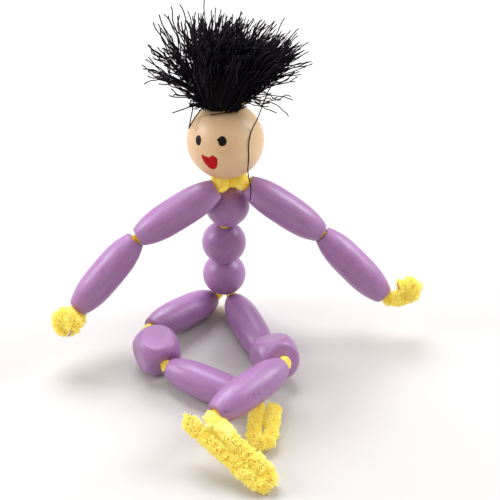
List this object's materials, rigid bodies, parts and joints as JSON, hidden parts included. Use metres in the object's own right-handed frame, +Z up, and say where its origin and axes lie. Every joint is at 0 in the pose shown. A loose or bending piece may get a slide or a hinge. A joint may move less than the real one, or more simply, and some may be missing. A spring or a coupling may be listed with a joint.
{
  "type": "bendy doll",
  "caption": "Seated bendy doll of painted wooden beads threaded on fuzzy wire stems, with a plain wood head and a tuft of thread hair.",
  "frame": {"origin": "on the surface that the doll sits on, under the middle of its box", "axes": "+Z up; the doll sits facing -Y, and its arms spread along X"},
  "size_m": [0.1018, 0.0924, 0.0971],
  "materials": {
    "lilac_paint": "satin lilac paint over wood",
    "natural_wood": "bare sanded wood",
    "yellow_chenille": "fluffy chenille pile on a wire",
    "black_thread": "black sewing thread",
    "steel_wire": "bare cut wire"
  },
  "bodies": {
    "pelvis": {"hip_bead": "lilac_paint", "stem_in_hip": "yellow_chenille", "waist_stem": "yellow_chenille"},
    "waist": {"waist_bead": "lilac_paint", "stem_in_waist": "yellow_chenille", "chest_stem": "yellow_chenille"},
    "chest": {"chest_bead": "lilac_paint", "stem_in_chest": "yellow_chenille", "collar": "yellow_chenille", "neck_stem": "yellow_chenille"},
    "neck": {"stem_in_head": "yellow_chenille", "crown_loop": "yellow_chenille", "hair_tuft": "black_thread"},
    "head": {"head_bead": "natural_wood"},
    "left_shoulder": {"left_shoulder_stem": "yellow_chenille"},
    "left_upper_arm": {"left_stem_in_upper_arm": "yellow_chenille", "left_elbow_stem": "yellow_chenille"},
    "left_forearm": {"left_stem_in_forearm": "yellow_chenille"},
    "left_hand": {"left_hand": "yellow_chenille"},
    "left_hip": {"left_hip_stem": "yellow_chenille"},
    "left_thigh": {"left_stem_in_thigh": "yellow_chenille", "left_knee_upper_stem": "yellow_chenille"},
    "left_knee": {"left_stem_in_knee": "yellow_chenille", "left_knee_lower_stem": "yellow_chenille"},
    "left_shin": {"left_stem_in_shin": "yellow_chenille"},
    "left_foot": {"left_foot": "yellow_chenille"},
    "left_upper_arm_bead": {"left_upper_arm_bead": "lilac_paint"},
    "left_forearm_bead": {"left_forearm_bead": "lilac_paint"},
    "left_thigh_bead": {"left_thigh_bead": "lilac_paint"},
    "left_knee_bead": {"left_knee_bead": "lilac_paint"},
    "left_shin_bead": {"left_shin_bead": "lilac_paint"},
    "right_shoulder": {"right_shoulder_stem": "yellow_chenille"},
    "right_upper_arm": {"right_stem_in_upper_arm": "yellow_chenille", "right_elbow_stem": "yellow_chenille"},
    "right_forearm": {"right_stem_in_forearm": "yellow_chenille"},
    "right_hand": {"right_hand": "yellow_chenille"},
    "right_hip": {"right_hip_stem": "yellow_chenille"},
    "right_thigh": {"right_stem_in_thigh": "yellow_chenille", "right_knee_upper_stem": "yellow_chenille"},
    "right_knee": {"right_stem_in_knee": "yellow_chenille", "right_knee_lower_stem": "yellow_chenille"},
    "right_shin": {"right_stem_in_shin": "yellow_chenille"},
    "right_foot": {"right_foot": "yellow_chenille", "right_foot_wire_tip": "steel_wire"},
    "right_upper_arm_bead": {"right_upper_arm_bead": "lilac_paint"},
    "right_forearm_bead": {"right_forearm_bead": "lilac_paint"},
    "right_thigh_bead": {"right_thigh_bead": "lilac_paint"},
    "right_knee_bead": {"right_knee_bead": "lilac_paint"},
    "right_shin_bead": {"right_shin_bead": "lilac_paint"}
  },
  "joints": [
    {"name": "waist_bend", "type": "hinge", "parent": "pelvis", "child": "waist", "pos_m": [-0.00486, 0.02601, 0.01877], "axis": [1, 0, 0], "range_deg": [-6, 25], "deforming": ["waist_stem"]},
    {"name": "chest_bend", "type": "hinge", "parent": "waist", "child": "chest", "pos_m": [-0.00422, 0.02541, 0.03125], "axis": [-1, 0, 0], "range_deg": [-25, 6], "deforming": ["chest_stem"]},
    {"name": "neck_nod", "type": "hinge", "parent": "chest", "child": "neck", "pos_m": [-0.0028, 0.02706, 0.04537], "axis": [-1, 0, 0], "range_deg": [-10, 30], "deforming": ["neck_stem", "collar", "left_shoulder_stem", "right_shoulder_stem"]},
    {"name": "head_turn", "type": "hinge", "parent": "neck", "child": "head", "pos_m": [-0.00379, 0.02682, 0.05764], "axis": [-0.0988, -0.034, 0.9945], "continuous": true},
    {"name": "left_shoulder_swing", "type": "hinge", "parent": "chest", "child": "left_shoulder", "pos_m": [-0.0045, 0.02155, 0.04691], "axis": [0, 0, 1], "range_deg": [-12, 50], "deforming": ["left_shoulder_stem", "collar"]},
    {"name": "left_shoulder_raise", "type": "hinge", "parent": "left_shoulder", "child": "left_upper_arm", "pos_m": [-0.0045, 0.02155, 0.04691], "axis": [-0.2756, 0.9613, 0], "range_deg": [-3, 18], "deforming": ["left_shoulder_stem", "collar"]},
    {"name": "left_elbow", "type": "hinge", "parent": "left_upper_arm", "child": "left_forearm", "pos_m": [-0.02613, 0.0142, 0.03198], "axis": [0.0684, -0.9309, 0.3589], "range_deg": [-18, 30], "deforming": ["left_elbow_stem"]},
    {"name": "left_wrist", "type": "hinge", "parent": "left_forearm", "child": "left_hand", "pos_m": [-0.04572, 0.00615, 0.01482], "axis": [0.4384, -0.8988, 0], "range_deg": [-20, 45]},
    {"name": "left_hip_spread", "type": "hinge", "parent": "pelvis", "child": "left_hip", "pos_m": [-0.00707, 0.02844, 0.00312], "axis": [0, 0, 1], "range_deg": [-60, 1], "deforming": ["left_hip_stem"]},
    {"name": "left_hip_lift", "type": "hinge", "parent": "left_hip", "child": "left_thigh", "pos_m": [-0.00707, 0.02844, 0.00312], "axis": [-0.7431, 0.6691, 0], "range_deg": [-80, 0], "deforming": ["left_hip_stem"]},
    {"name": "left_knee_upper", "type": "hinge", "parent": "left_thigh", "child": "left_knee", "pos_m": [-0.02298, 0.00656, 0.00692], "axis": [0.2842, -0.0402, 0.9579], "range_deg": [-3, 8], "deforming": ["left_knee_upper_stem"]},
    {"name": "left_knee_lower", "type": "hinge", "parent": "left_knee", "child": "left_shin", "pos_m": [-0.01771, -0.00328, 0.00618], "axis": [-0.0834, -0.2376, 0.9678], "range_deg": [-34, 9], "deforming": ["left_knee_lower_stem"]},
    {"name": "left_ankle", "type": "hinge", "parent": "left_shin", "child": "left_foot", "pos_m": [0.00498, -0.01907, 0.00426], "axis": [0.0082, 0.1043, -0.9945], "range_deg": [-50, 30]},
    {"name": "left_upper_arm_bead_turn", "type": "hinge", "parent": "left_upper_arm", "child": "left_upper_arm_bead", "pos_m": [-0.01681, 0.01802, 0.0401], "axis": [-0.8487, -0.2434, -0.4695], "continuous": true},
    {"name": "left_forearm_bead_turn", "type": "hinge", "parent": "left_forearm", "child": "left_forearm_bead", "pos_m": [-0.03637, 0.01071, 0.02487], "axis": [-0.6465, -0.3153, -0.6947], "continuous": true},
    {"name": "left_thigh_bead_turn", "type": "hinge", "parent": "left_thigh", "child": "left_thigh_bead", "pos_m": [-0.01664, 0.01781, 0.00551], "axis": [-0.66, -0.733, 0.165], "continuous": true},
    {"name": "left_knee_bead_turn", "type": "hinge", "parent": "left_knee", "child": "left_knee_bead", "pos_m": [-0.02284, 0.0003, 0.00662], "axis": [0.4623, -0.8695, -0.1736], "continuous": true},
    {"name": "left_shin_bead_turn", "type": "hinge", "parent": "left_shin", "child": "left_shin_bead", "pos_m": [-0.00804, -0.01185, 0.00491], "axis": [0.8738, -0.4843, -0.0436], "continuous": true},
    {"name": "right_shoulder_swing", "type": "hinge", "parent": "chest", "child": "right_shoulder", "pos_m": [0.00059, 0.023, 0.04725], "axis": [0, 0, -1], "range_deg": [-20, 50], "deforming": ["right_shoulder_stem", "collar"]},
    {"name": "right_shoulder_raise", "type": "hinge", "parent": "right_shoulder", "child": "right_upper_arm", "pos_m": [0.00059, 0.023, 0.04725], "axis": [-0.0872, -0.9962, 0], "range_deg": [-5, 38], "deforming": ["right_shoulder_stem", "collar"]},
    {"name": "right_elbow", "type": "hinge", "parent": "right_upper_arm", "child": "right_forearm", "pos_m": [0.02127, 0.01914, 0.02985], "axis": [-0.3863, 0.6897, -0.6124], "range_deg": [-12, 62], "deforming": ["right_elbow_stem"]},
    {"name": "right_wrist", "type": "hinge", "parent": "right_forearm", "child": "right_hand", "pos_m": [0.04186, 0.01521, 0.01244], "axis": [0.2924, 0.9563, 0], "range_deg": [-30, 45]},
    {"name": "right_hip_spread", "type": "hinge", "parent": "pelvis", "child": "right_hip", "pos_m": [-0.00267, 0.02675, 0.00428], "axis": [0, 0, 1], "range_deg": [-1, 48], "deforming": ["right_hip_stem"]},
    {"name": "right_hip_lift", "type": "hinge", "parent": "right_hip", "child": "right_thigh", "pos_m": [-0.00267, 0.02675, 0.00428], "axis": [-0.9397, -0.342, 0], "range_deg": [0, 5], "deforming": ["right_hip_stem"]},
    {"name": "right_knee_upper", "type": "hinge", "parent": "right_thigh", "child": "right_knee", "pos_m": [0.00736, 0.00162, 0.008], "axis": [-0.9035, -0.3182, 0.2873], "range_deg": [0, 60], "deforming": ["right_knee_upper_stem"]},
    {"name": "right_knee_lower", "type": "hinge", "parent": "right_knee", "child": "right_shin", "pos_m": [0.00933, -0.01019, 0.01016], "axis": [0.3247, -0.3282, -0.887], "range_deg": [-73, 1], "deforming": ["right_knee_lower_stem"]},
    {"name": "right_ankle", "type": "hinge", "parent": "right_shin", "child": "right_foot", "pos_m": [-0.00749, -0.032, 0.01208], "axis": [0.3113, -0.2641, 0.9129], "range_deg": [-50, 3]},
    {"name": "right_upper_arm_bead_turn", "type": "hinge", "parent": "right_upper_arm", "child": "right_upper_arm_bead", "pos_m": [0.01228, 0.02198, 0.03872], "axis": [0.8059, -0.0705, -0.5878], "continuous": true},
    {"name": "right_forearm_bead_turn", "type": "hinge", "parent": "right_forearm", "child": "right_forearm_bead", "pos_m": [0.03175, 0.0183, 0.0223], "axis": [0.6994, -0.2138, -0.682], "continuous": true},
    {"name": "right_thigh_bead_turn", "type": "hinge", "parent": "right_thigh", "child": "right_thigh_bead", "pos_m": [0.00228, 0.01313, 0.00479], "axis": [0.3418, -0.9391, 0.0349], "continuous": true},
    {"name": "right_knee_bead_turn", "type": "hinge", "parent": "right_knee", "child": "right_knee_bead", "pos_m": [0.00945, -0.0043, 0.00803], "axis": [0.4201, -0.7902, 0.4462], "continuous": true},
    {"name": "right_shin_bead_turn", "type": "hinge", "parent": "right_shin", "child": "right_shin_bead", "pos_m": [0.0026, -0.02118, 0.01177], "axis": [-0.6818, -0.7312, 0.0209], "continuous": true}
  ]
}
